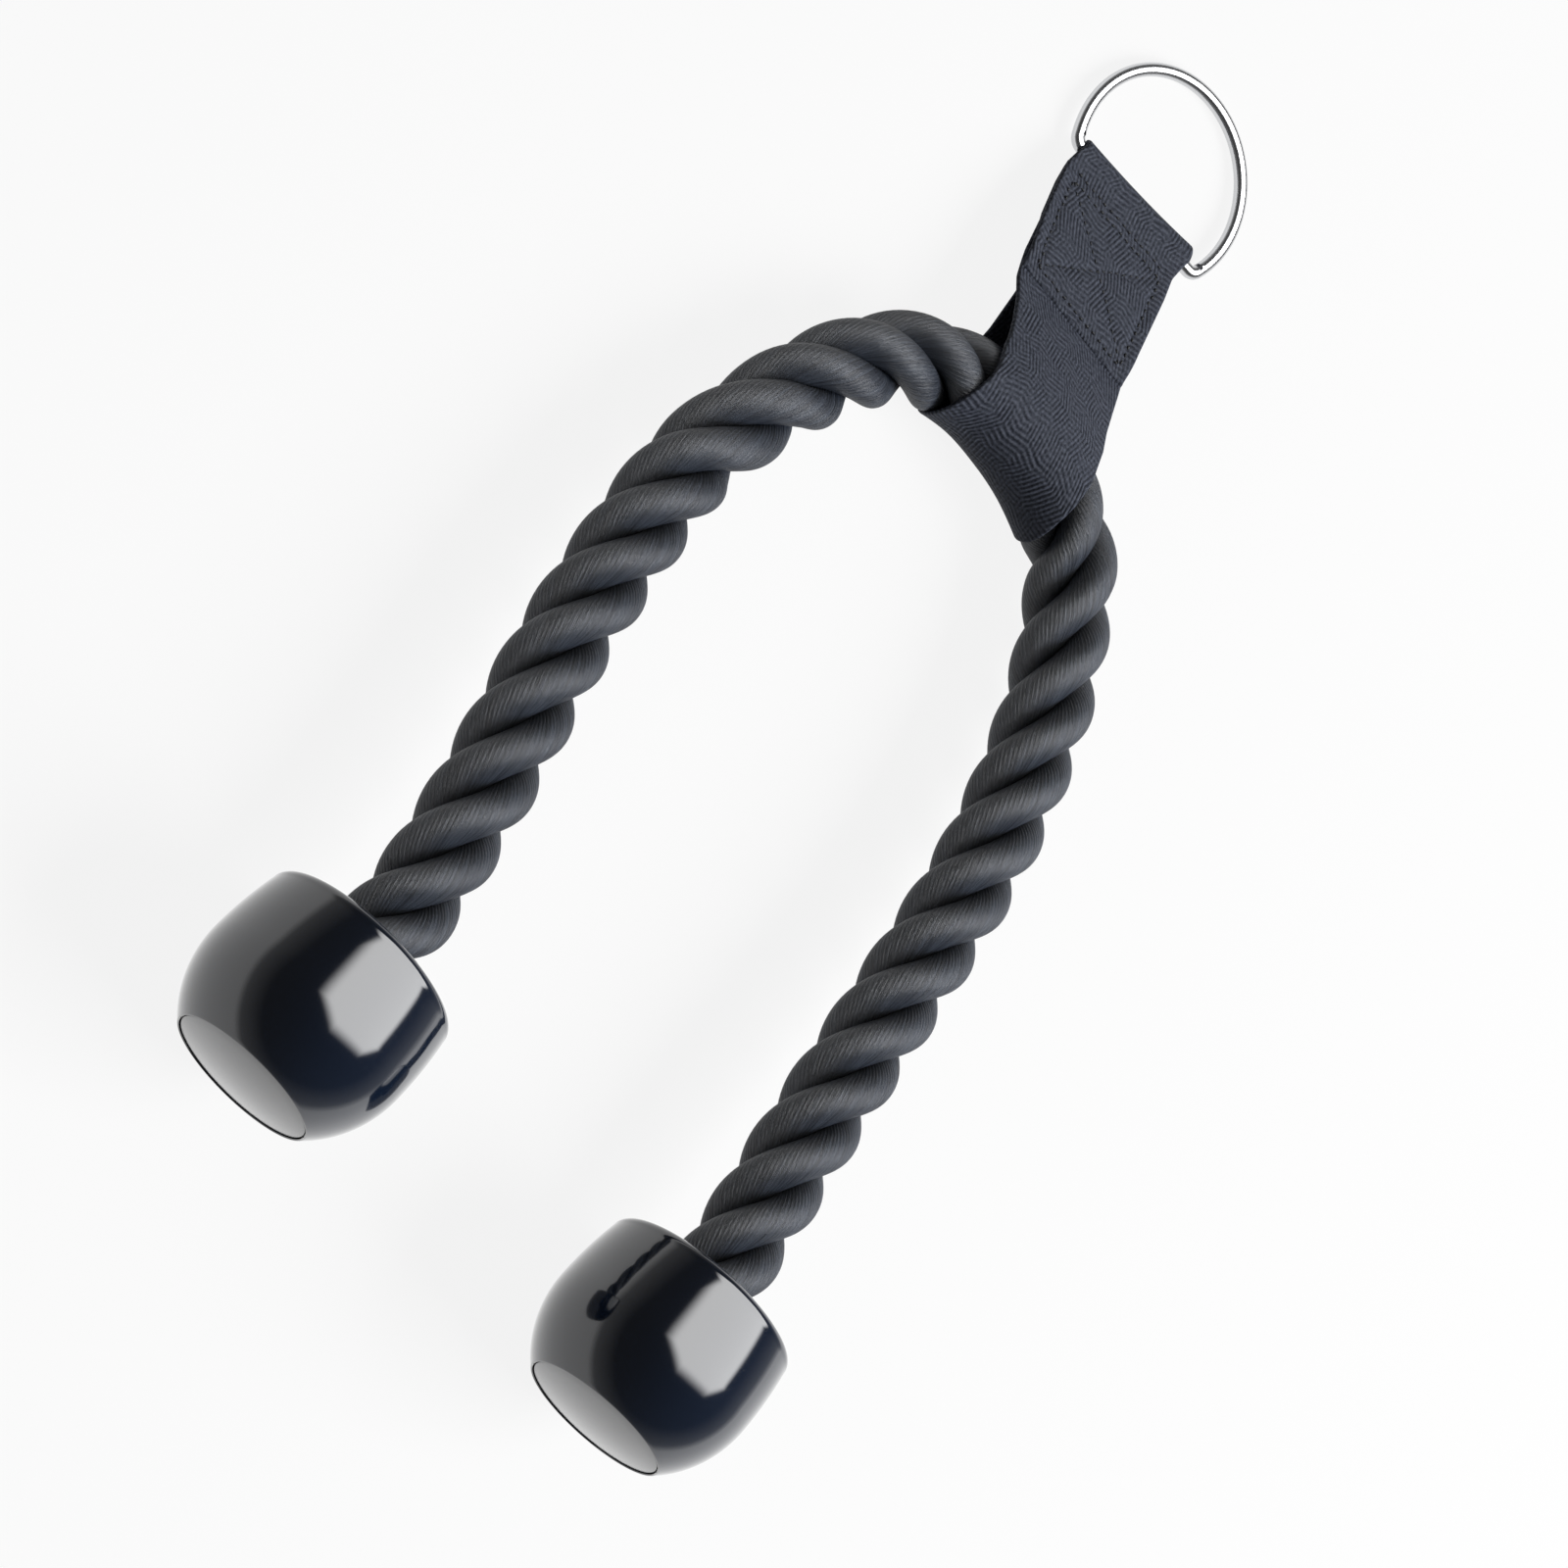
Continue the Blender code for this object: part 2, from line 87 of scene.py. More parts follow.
# The stretch of the left leg, in metres from its end, where the bend opens the lay a little, and
# where the strands stand, in turns, before it, after it and on the right leg.
LAY_SLIP = [0.200, 0.228]
LAY_START = [0.25, 0.165, 0.16]
LEFT_ROUTE = [
    (-0.0695, -0.1890, 0.0312), (-0.0676, -0.1762, 0.0310), (-0.0645, -0.1552, 0.0307),
    (-0.0623, -0.1378, 0.0297), (-0.0625, -0.1242, 0.0286), (-0.0638, -0.1035, 0.0270),
    (-0.0664, -0.0814, 0.0255), (-0.0690, -0.0605, 0.0239), (-0.0703, -0.0385, 0.0224),
    (-0.0705, -0.0166, 0.0210), (-0.0691, 0.0049, 0.0195), (-0.0634, 0.0255, 0.0181),
    (-0.0556, 0.0452, 0.0168), (-0.0448, 0.0636, 0.0156), (-0.0299, 0.0769, 0.0149),
]
MIDDLE_ROUTE = [(-0.0123, 0.0827, 0.0148), (0.00375, 0.0827, 0.0148), (0.0195, 0.0796, 0.0148)]
RIGHT_ROUTE = [
    (0.0363, 0.0719, 0.0150), (0.0460, 0.0608, 0.0156), (0.0531, 0.0476, 0.0163),
    (0.0594, 0.0326, 0.0174), (0.0641, 0.0159, 0.0186), (0.0680, -0.0047, 0.0200),
    (0.0700, -0.0268, 0.0215), (0.0704, -0.0490, 0.0229), (0.0702, -0.0711, 0.0245),
    (0.0701, -0.0932, 0.0260), (0.0701, -0.1152, 0.0276), (0.0705, -0.1347, 0.0289),
    (0.0698, -0.1608, 0.0307), (0.0670, -0.1818, 0.0310), (0.0654, -0.1947, 0.0312),
]
HIDDEN_CUT = 0.017          # each leg's mesh starts this far from the middle, in the strap
LEFT_PIVOT = (-0.02636, 0.08357, 0.0148)
RIGHT_PIVOT = (0.03356, 0.07843, 0.0148)


def hexed(code):
    """A colour from its sRGB hex code, as the linear numbers that a shader takes."""
    parts = [int(code[i:i + 2], 16) / 255 for i in (1, 3, 5)]
    return (*[p / 12.92 if p <= 0.04045 else ((p + 0.055) / 1.055) ** 2.4 for p in parts], 1.0)


def add_node(tree, kind, settings=None, links=None):
    """A node with its settings, and its inputs as plain values or other nodes' outputs."""
    made = tree.nodes.new(kind)
    for name, value in (settings or {}).items():
        setattr(made, name, value)
    for name, value in (links or {}).items():
        if isinstance(value, bpy.types.NodeSocket):
            tree.links.new(value, made.inputs[name])
        else:
            made.inputs[name].default_value = value
    return made


def maths(tree, operation, *values):
    """The result of a Math node."""
    made = add_node(tree, "ShaderNodeMath", {"operation": operation}, dict(enumerate(values)))
    return made.outputs[0]


def even_noise(tree, scale, detail=2.0):
    """Noise in the piece's own metres."""
    return add_node(tree, "ShaderNodeTexNoise", {}, {
        "Vector": add_node(tree, "ShaderNodeTexCoord").outputs["Object"],
        "Scale": scale, "Detail": detail}).outputs["Fac"]


def colour_between(tree, shader, share, dark, light):
    """The shader's colour from two hex codes, by a share from 0 to 1. In a Mix node, socket 0 is
    the share, 2 and 3 take numbers, and 6 and 7 take colours."""
    mixed = add_node(tree, "ShaderNodeMix", {"data_type": "RGBA"}, {
        0: share, 6: hexed(dark), 7: hexed(light)})
    tree.links.new(mixed.outputs[2], shader.inputs["Base Color"])


def add_bumps(tree, shader, height, strength, distance):
    """Bumps in the surface; distance is in metres."""
    bumps = add_node(tree, "ShaderNodeBump", {}, {
        "Height": height, "Strength": strength, "Distance": distance})
    tree.links.new(bumps.outputs["Normal"], shader.inputs["Normal"])


def new_material(name, **values):
    """A material of one Principled shader with these values on its sockets."""
    made = bpy.data.materials.new(name)
    made.use_nodes = True
    shader = made.node_tree.nodes["Principled BSDF"]
    for socket, value in values.items():
        shader.inputs[socket.replace("_", " ")].default_value = value
    return made, made.node_tree, shader


def mesh_piece(name, corners, faces, uvs=None, material=None):
    """A smooth mesh piece; uvs holds a texture place for each face's corners in turn."""
    mesh = bpy.data.meshes.new(name)
    mesh.from_pydata(np.asarray(corners).tolist(), [], [[int(i) for i in f] for f in faces])
    if uvs is not None:
        layer = mesh.uv_layers.new(name="UVMap")
        layer.data.foreach_set("uv", np.asarray(uvs, dtype=np.float32).ravel())
    mesh.shade_smooth()
    if material:
        mesh.materials.append(material)
    piece = bpy.data.objects.new(name, mesh)
    bpy.context.collection.objects.link(piece)
    return piece


def smooth_line(points, spacing):
    """Evenly spaced points on a Catmull-Rom curve through points, and their distances along it."""
    points = np.array(points)
    knots = np.vstack([2 * points[0] - points[1], points, 2 * points[-1] - points[-2]])
    t = np.linspace(0, 1, ROUTE_STEPS, endpoint=False)[:, None]
    fine = [
        (2 * b + (c - a) * t + (2 * a - 5 * b + 4 * c - d) * t ** 2
         + (3 * b - a - 3 * c + d) * t ** 3) / 2
        for a, b, c, d in zip(knots, knots[1:], knots[2:], knots[3:])
    ]
    fine = np.vstack([*fine, points[-1:]])
    run = np.r_[0, np.cumsum(np.linalg.norm(np.diff(fine, axis=0), axis=1))]
    even = np.linspace(0, run[-1], int(round(run[-1] / spacing)) + 1)
    return np.stack([np.interp(even, run, fine[:, i]) for i in range(3)], axis=1), even


# Black polypropylene yarn, extruded with its colour in. Hundreds of smooth parallel filaments
# give each yarn a soft silky shine, with fine streaks along it and each yarn a little its own.
STREAKS = (6.0, 0.16, 1.0)      # streaks in a yarn's width, and in a millimetre of its length
YARN_TONE = 0.45                # how much the yarns differ, against the streaks
FUZZ_HEIGHT = 0.0003
rope_material, tree, shader = new_material(
    "black_polypropylene_yarn", Roughness=0.46, IOR=1.49, Specular_IOR_Level=0.8)
yarn_place = add_node(tree, "ShaderNodeTexCoord").outputs["UV"]
round_strand = add_node(tree, "ShaderNodeSeparateXYZ", links={"Vector": yarn_place}).outputs["X"]
tone = add_node(tree, "ShaderNodeTexWhiteNoise", {"noise_dimensions": "1D"}, {
    "W": maths(tree, "FLOOR", round_strand)})
streak_place = add_node(tree, "ShaderNodeVectorMath", {"operation": "MULTIPLY"}, {
    0: yarn_place, 1: STREAKS})
filaments = add_node(tree, "ShaderNodeTexNoise", {"noise_dimensions": "2D"}, {
    "Vector": streak_place.outputs[0], "Scale": 1.0, "Detail": 3.0,
    "Roughness": 0.6}).outputs["Fac"]
shade = add_node(tree, "ShaderNodeMapRange", {}, {
    "Value": maths(tree, "MULTIPLY_ADD", tone.outputs["Value"], YARN_TONE, filaments),
    "From Min": 0.40, "From Max": 1.0})
colour_between(tree, shader, shade.outputs["Result"], "#0a101b", "#2e343e")
add_bumps(tree, shader, filaments, strength=0.75, distance=FUZZ_HEIGHT)

rope_line, rope_run = smooth_line(LEFT_ROUTE + MIDDLE_ROUTE + RIGHT_ROUTE, RING_SPACING)
rope_heading = np.gradient(rope_line, axis=0)
rope_heading /= np.linalg.norm(rope_heading, axis=1)[:, None]
rope_side = np.cross((0, 0, 1), rope_heading)
rope_side /= np.linalg.norm(rope_side, axis=1)[:, None]
rope_up = np.cross(rope_heading, rope_side)
middle_ring = int(np.argmin(np.linalg.norm(rope_line - MIDDLE_ROUTE[1], axis=1)))
cut_rings = int(round(HIDDEN_CUT / RING_SPACING))
right_start = rope_run[middle_ring + cut_rings]
lay_turn = rope_run / LAY_LENGTH + np.interp(rope_run, [*LAY_SLIP, right_start], LAY_START)


def rope_part(name, first, last):
    """The rope from one of its rings to another: three strands, each a closed tube of yarns."""
    columns, rings = YARNS * COLUMNS_PER_YARN, np.arange(first, last + 1)
    wave = np.abs(np.sin(np.pi * np.arange(columns) / COLUMNS_PER_YARN))
    ridge = YARN_HEIGHT * wave ** YARN_CROWN
    i, j = np.meshgrid(np.arange(len(rings) - 1), np.arange(columns), indexing="ij")
    j2, row, next_row = (j + 1) % columns, i * columns, (i + 1) * columns
    quads = np.stack([row + j, row + j2, next_row + j2, next_row + j], -1)
    u, step = j / COLUMNS_PER_YARN, 1 / COLUMNS_PER_YARN
    v, v_next = rope_run[rings][i] * MM, rope_run[rings][i + 1] * MM
    place = np.stack([u, v, u + step, v, u + step, v_next, u, v_next], -1).reshape(-1, 4, 2)
    corners, faces, uvs = [], [], []
    for strand in range(STRANDS):
        turn = 2 * np.pi * (lay_turn[rings] + strand / STRANDS)
        cos, sin = np.cos(turn)[:, None], np.sin(turn)[:, None]
        outward = cos * rope_side[rings] + sin * rope_up[rings]
        around = cos * rope_up[rings] - sin * rope_side[rings]
        angle = (2 * np.pi * np.arange(columns) / columns)[None, :] - (STRAND_TURNS * turn)[:, None]
        deep = STRAND_OUT + (STRAND_DEPTH - YARN_HEIGHT + ridge) * np.cos(angle)
        wide = (STRAND_BREADTH - YARN_HEIGHT + ridge) * np.sin(angle)
        grid = (rope_line[rings][:, None, :] + deep[:, :, None] * outward[:, None, :]
                + wide[:, :, None] * around[:, None, :])
        offset = strand * len(rings) * columns
        corners.append(grid.reshape(-1, 3))
        faces += (quads.reshape(-1, 4) + offset).tolist()
        uvs.append((place + (strand * YARNS, 0)).reshape(-1, 2))
        ends = np.arange(columns)
        faces.append((ends[::-1] + offset).tolist())
        faces.append((ends + offset + (len(rings) - 1) * columns).tolist())
        uvs.append(np.zeros((2 * columns, 2)))
    return mesh_piece(name, np.vstack(corners), faces, np.vstack(uvs), rope_material)


rope_in_strap = rope_part("rope_in_strap", middle_ring - cut_rings, middle_ring + cut_rings)
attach(rope_in_strap, "rope_middle")
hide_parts("rope_centre")
for side, pivot, first, last in (
    ("left", LEFT_PIVOT, 0, middle_ring - cut_rings),
    ("right", RIGHT_PIVOT, middle_ring + cut_rings, len(rope_run) - 1),
):
    leg = rope_part(f"rope_leg_{side}", first, last)
    path = rope_line[first:last + 1]
    path = path[::-1] if side == "left" else path
    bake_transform(leg)
    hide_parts(f"rope_{side}_leg")


# Balls.
# Each hand stop is a moulded ball, flat on both sides. A bore lets the rope in at the wide
# face, and a counterbore behind the cap takes the washer and the ferrule that hold it there.
BALL_RADIUS = 0.031
BALL_CAP_SIDE = 0.0232
BALL_ROPE_SIDE = 0.0212
MOUTH_RIM_RADIUS = 0.0294
MOUTH_FILLET = 0.0026
CAP_RIM_RADIUS = 0.0215
CAP_SEAT_RADIUS = 0.0209
CAP_THICKNESS = 0.003
BORE_RADIUS = 0.0133
BORE_LIP = 0.0007
COUNTERBORE_RADIUS = 0.0185
SHOULDER = -0.0031
EDGE_BREAK = 0.0002         # broken edges at the cap's seat
RIM_BREAK = 0.00025         # and at the shell's rim round the cap
CAP_GAP = 0.0003            # round the cap, round its skirt and below it
CAP_SET_IN = 0.0003         # how far the cap's rim lies below the shell's
CAP_DOME = 0.0018
CAP_EDGE_ROUND = 0.0004
SKIRT_REACH = 0.007
SKIRT_WALL = 0.002
DOME_STEPS = 12
BALL_STEPS = 160
SHARP_FROM = math.radians(40)
LEFT_BALL = ((-0.06760, -0.17620, 0.03101), (-0.14607, -0.98920, 0.01222))
RIGHT_BALL = ((0.06700, -0.18180, 0.03101), (-0.12532, -0.99204, 0.01222))


def arc(centre_radius, centre_height, radius, start, end, steps):
    """Points of a turned profile on an arc, with its angles in degrees from the outward side."""
    angles = np.radians(np.linspace(start, end, steps + 1))
    return [(centre_radius + radius * math.cos(a), centre_height + radius * math.sin(a))
            for a in angles]


def oval(reach_radius, distance, steps):
    """Points from a ball's widest circle to a smaller one at a distance, on a quarter oval."""
    reach = distance / math.sqrt(1 - (reach_radius / BALL_RADIUS) ** 2)
    last = math.asin(distance / reach)
    return [(BALL_RADIUS * math.cos(last * i / steps), reach * math.sin(last * i / steps))
            for i in range(steps + 1)]


def turned_piece(name, profile, material, place, axis):
    """A piece turned from a closed profile of (radius, height) about axis through place."""
    profile = np.array(profile)
    count = len(profile)
    turn = 2 * np.pi * np.arange(BALL_STEPS) / BALL_STEPS
    ring = np.stack([np.outer(np.cos(turn), profile[:, 0]), np.outer(np.sin(turn), profile[:, 0]),
                     np.broadcast_to(profile[:, 1], (BALL_STEPS, count))], -1)
    out = np.array(axis) / np.linalg.norm(axis)
    side = np.cross((0, 0, 1), out)
    side /= np.linalg.norm(side)
    corners = ring.reshape(-1, 3) @ np.stack([side, np.cross(out, side), out]) + np.array(place)
    i, j = np.meshgrid(np.arange(BALL_STEPS), np.arange(count), indexing="ij")
    j2, row, next_row = (j + 1) % count, i * count, ((i + 1) % BALL_STEPS) * count
    faces = np.stack([row + j, next_row + j, next_row + j2, row + j2], -1)
    piece = mesh_piece(name, corners, faces.reshape(-1, 4), material=material)
    piece.data.set_sharp_from_angle(angle=SHARP_FROM)
    return piece


# Black ABS, moulded in a polished tool. It mirrors the room sharply, the surface has only the
# faintest orange peel, and the clear depth of its gloss is a coat over the pigmented plastic.
ball_material, tree, shader = new_material(
    "gloss_black_abs_moulding", Base_Color=hexed("#0e1726"), Roughness=0.10, IOR=1.54,
    Coat_Weight=1.0, Coat_Roughness=0.05, Coat_IOR=1.5)
add_bumps(tree, shader, even_noise(tree, scale=260.0), strength=0.03, distance=0.0002)

# The cap is the same plastic from a finely blasted tool, so its shine is softer than the ball's.
cap_material, tree, shader = new_material(
    "satin_black_abs_moulding", Base_Color=hexed("#141922"), Roughness=0.22, IOR=1.54,
    Coat_Weight=0.8, Coat_Roughness=0.18, Coat_IOR=1.5)
add_bumps(tree, shader, even_noise(tree, scale=2500.0), strength=0.05, distance=0.0001)

# Zinc-plated steel, for the washer and the crimped ferrule that the cap hides.
zinc_material, tree, shader = new_material(
    "zinc_plated_steel", Base_Color=hexed("#c3c6c9"), Metallic=1.0)
haze = add_node(tree, "ShaderNodeMapRange", {}, {
    "Value": even_noise(tree, scale=900.0, detail=3.0), "To Min": 0.24, "To Max": 0.42})
tree.links.new(haze.outputs["Result"], shader.inputs["Roughness"])

# The shell's profile goes from the mouth's rim over the outside to the cap's seat, down the
# counterbore and the bore, and over the mouth's face. Heights grow towards the cap.
cap_under = BALL_CAP_SIDE - CAP_THICKNESS
seat = cap_under - CAP_GAP
fillet_height = BALL_ROPE_SIDE - MOUTH_FILLET
lower_oval = oval(MOUTH_RIM_RADIUS, fillet_height, steps=20)
bore_lip = arc(BORE_RADIUS + BORE_LIP, BALL_ROPE_SIDE - BORE_LIP, BORE_LIP,
               start=180, end=90, steps=5)
mouth_fillet = arc(MOUTH_RIM_RADIUS - MOUTH_FILLET, fillet_height, MOUTH_FILLET,
                   start=90, end=6, steps=8)
shell_profile = [
    *[(r, -h) for r, h in reversed(lower_oval)],
    *oval(CAP_RIM_RADIUS, BALL_CAP_SIDE - EDGE_BREAK, steps=34)[1:],
    (CAP_RIM_RADIUS - RIM_BREAK, BALL_CAP_SIDE), (CAP_SEAT_RADIUS + EDGE_BREAK, BALL_CAP_SIDE),
    (CAP_SEAT_RADIUS, BALL_CAP_SIDE - EDGE_BREAK), (CAP_SEAT_RADIUS, seat),
    (COUNTERBORE_RADIUS, seat), (COUNTERBORE_RADIUS, SHOULDER), (BORE_RADIUS, SHOULDER),
    *[(r, -h) for r, h in bore_lip + mouth_fillet],
]

# The cap's goes from the middle of its low dome over its rounded edge and down its skirt.
cap_edge, cap_rim = CAP_SEAT_RADIUS - CAP_GAP, BALL_CAP_SIDE - CAP_SET_IN
skirt_out, skirt_end = COUNTERBORE_RADIUS - CAP_GAP, BALL_CAP_SIDE - SKIRT_REACH
cap_profile = [
    *[(cap_edge * i / DOME_STEPS, cap_rim + CAP_DOME * (1 - (i / DOME_STEPS) ** 2))
      for i in range(DOME_STEPS)],
    *arc(cap_edge - CAP_EDGE_ROUND, cap_rim - CAP_EDGE_ROUND, CAP_EDGE_ROUND,
         start=84, end=0, steps=6),
    (cap_edge, cap_under), (skirt_out, cap_under), (skirt_out, skirt_end),
    (skirt_out - SKIRT_WALL, skirt_end), (skirt_out - SKIRT_WALL, cap_under), (0, cap_under),
]
for side, (place, axis) in (("left", LEFT_BALL), ("right", RIGHT_BALL)):
    shell = turned_piece(f"ball_{side}", shell_profile, ball_material, place, axis)
    cap = turned_piece(f"ball_cap_{side}", cap_profile, cap_material, place, axis)
    for piece, node_name, slot_name in (
        (shell, "ball_shell", "ball_plastic"), (cap, "end_cap", "cap_plastic"),
    ):
        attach(piece, f"{side}_ball")
        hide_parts(f"{side}_{node_name}")
    for hidden in ("retaining_washer", "crimp_ferrule"):
        bpy.data.objects[f"{side}_{hidden}"].material_slots[0].material = zinc_material


# D-ring.
# Round steel wire 4 mm thick, bent to a D and chrome plated. Its bar runs through the sleeve at
# the strap's end, which also hides the butt joint of the wire's two ends.
WIRE_RADIUS = 0.002
RING_ARC_RADIUS = 0.0298
RING_REACH = 0.0432
RING_CORNER = 0.0032
BAR_MIDDLE = np.array([-0.00139, 0.16251, 0.0038])
BAR_TURN = math.radians(-0.6)
WIRE_SIDES = 32
RING_ARC_STEP = math.radians(4)


def belt(rounds, arc_step):
    """The path of a belt over circles (x, y, radius), turning left about a positive radius and
    right about a negative one. A radius of 0 is a corner or an end."""
    runs = []
    for (x0, y0, r0), (x1, y1, r1) in zip(rounds, rounds[1:]):
        lean = math.asin((r1 - r0) / math.hypot(x1 - x0, y1 - y0))
        heading = math.atan2(y1 - y0, x1 - x0) - lean
        left = np.array([-math.sin(heading), math.cos(heading)])
        runs.append((heading, np.array([x0, y0]) - left * r0, np.array([x1, y1]) - left * r1))
    path = [runs[0][1]]
    turns = zip(runs, runs[1:], rounds[1:-1])
    for (heading, _, arrive), (heading_on, leave, _), (x, y, r) in turns:
        path.append(arrive)
        if not r:
            continue
        turn = (heading_on - heading) % math.tau
        turn = turn if r > 0 else turn - math.tau
        steps = max(1, math.ceil(abs(turn) / arc_step))
        for i in range(1, steps):
            angle = heading + turn * i / steps
            path.append(np.array([x + r * math.sin(angle), y - r * math.cos(angle)]))
        path.append(leave)
    path.append(runs[-1][2])
    return np.array(path)


# Bright chrome plate on drawn wire, a little dulled by use: it shows the table, the dark studio
# and the lamp as long soft streaks, with the faint ripple of the bending under the plate.
chrome_material, tree, shader = new_material(
    "bright_chrome_plated_wire", Base_Color=hexed("#d2d3d5"), Metallic=1.0, Roughness=0.19)
add_bumps(tree, shader, even_noise(tree, scale=160.0), strength=0.08, distance=0.0003)

centre_y = RING_REACH - RING_ARC_RADIUS
corner_x = math.sqrt((RING_ARC_RADIUS - RING_CORNER) ** 2 - (centre_y - RING_CORNER) ** 2)
outline = belt([(0, 0, 0), (corner_x, RING_CORNER, RING_CORNER), (0, centre_y, RING_ARC_RADIUS),
                (-corner_x, RING_CORNER, RING_CORNER), (0, 0, 0)], RING_ARC_STEP)[:-1]
drop = math.asin((BAR_MIDDLE[2] - WIRE_RADIUS) / RING_REACH)
across = np.array([math.cos(BAR_TURN), math.sin(BAR_TURN), 0])
level = np.array([-math.sin(BAR_TURN), math.cos(BAR_TURN), 0])
forward = level * math.cos(drop) - np.array([0, 0, math.sin(drop)])
ring_line = BAR_MIDDLE + outline[:, :1] * across + outline[:, 1:] * forward
ring_heading = np.roll(ring_line, -1, axis=0) - np.roll(ring_line, 1, axis=0)
ring_heading /= np.linalg.norm(ring_heading, axis=1)[:, None]
ring_normal = np.cross(across, forward)
ring_inward = np.cross(ring_normal, ring_heading)
turn = (2 * np.pi * np.arange(WIRE_SIDES) / WIRE_SIDES)[None, :, None]
wire = ring_line[:, None, :] + WIRE_RADIUS * (
    np.cos(turn) * ring_inward[:, None, :] + np.sin(turn) * ring_normal)
i, j = np.meshgrid(np.arange(len(ring_line)), np.arange(WIRE_SIDES), indexing="ij")
j2, row = (j + 1) % WIRE_SIDES, i * WIRE_SIDES
next_row = ((i + 1) % len(ring_line)) * WIRE_SIDES
faces = np.stack([row + j, row + j2, next_row + j2, next_row + j], -1).reshape(-1, 4)
ring = mesh_piece("d_ring_wire", wire.reshape(-1, 3), faces, material=chrome_material)
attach(ring, "ring")
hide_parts("d_ring")


# Strap.
# One length of nylon webbing, 1.5 mm thick. It folds over the D-ring's bar, runs back
# underneath, goes round the rope, and ends between its own two plies, all sewn flat together.
WEBBING_WIDTH = 0.0455
WEBBING_THICKNESS = 0.0015
EDGE_ROUND = 0.0007
PLY_PITCH = 0.00175
RAW_END_LIFT = 0.0004
STRAP_LENGTH = 0.0821
STACK_LENGTH = 0.046
RAW_END = 0.0486                # the upper ply ends a little beyond the stack, on the rope side
SLEEVE_LENGTH = 0.008
SLEEVE_RADIUS = 0.0023
FLARE_RADIUS = 0.012
LOOP_RADIUS = 0.0133
APEX = np.array([0.0036, 0.0810, 0.0148])
BAR_HEIGHT = 0.0038
ROPE_TURN = math.radians(-4.9)
STRAP_LEAN = math.radians(7.6)
STATION_SPACING = 0.0009
END_SPACING, END_FOR = 0.0003, 0.0027       # closer rows for the raw end's bead
LEAST_SPACING = 0.00004                     # a row closer to the one before it is dropped
STRAP_ARC_STEP = math.radians(3)
WIDTH_STEPS = 76
EDGE_ANGLES = [0, 22, 45, 68, 90]           # round the webbing's edges, in degrees
BOW_RINGS = 40                              # of the rope, to each side of its middle
BOW_FULL, BOW_FADES = 0.014, 0.022          # round the rope, and from there along the strap

fall = math.atan2(APEX[2] - BAR_HEIGHT, STACK_LENGTH)
to_bar = np.array([math.cos(fall), -math.sin(fall)])
up_from = np.array([math.sin(fall), math.cos(fall)])


def at(before_bar, offset):
    """A place in the strap's side view, from the bar back along the sewn stack."""
    return np.array([STRAP_LENGTH, BAR_HEIGHT]) - to_bar * before_bar + up_from * offset


crease = WEBBING_THICKNESS * 2
half = WEBBING_THICKNESS / 2
side_view = belt([
    (*at(RAW_END, PLY_PITCH + RAW_END_LIFT), 0),
    (*at(SLEEVE_LENGTH, PLY_PITCH + crease), crease),
    (STRAP_LENGTH, BAR_HEIGHT, -SLEEVE_RADIUS - half),
    (*at(SLEEVE_LENGTH, -PLY_PITCH - crease), crease),
    (*at(STACK_LENGTH, -PLY_PITCH - FLARE_RADIUS), FLARE_RADIUS),
    (0, APEX[2], -LOOP_RADIUS - half),
    (*at(STACK_LENGTH, FLARE_RADIUS), FLARE_RADIUS),
    (*at(SLEEVE_LENGTH + crease, 0), 0),
], STRAP_ARC_STEP)
view_run = np.r_[0, np.cumsum(np.linalg.norm(np.diff(side_view, axis=0), axis=1))]
stations = np.unique(np.r_[view_run, np.arange(0, view_run[-1], STATION_SPACING),
                           np.arange(0, END_FOR, END_SPACING)])
stations = stations[np.r_[True, np.diff(stations) > LEAST_SPACING]]
strap_view = np.stack([np.interp(stations, view_run, side_view[:, i]) for i in range(2)], 1)
view_heading = np.gradient(strap_view, axis=0)
view_heading /= np.linalg.norm(view_heading, axis=1)[:, None]

# Where the rope bows away from the straight line through the strap, across the strap.
rope_way = np.array([math.cos(ROPE_TURN), math.sin(ROPE_TURN)])
bow_way = np.array([-rope_way[1], rope_way[0]])
near_rings = slice(middle_ring - BOW_RINGS, middle_ring + BOW_RINGS + 1)
bow_across = (rope_line[near_rings, :2] - APEX[:2]) @ rope_way
bow_amount = (rope_line[near_rings, :2] - APEX[:2]) @ bow_way


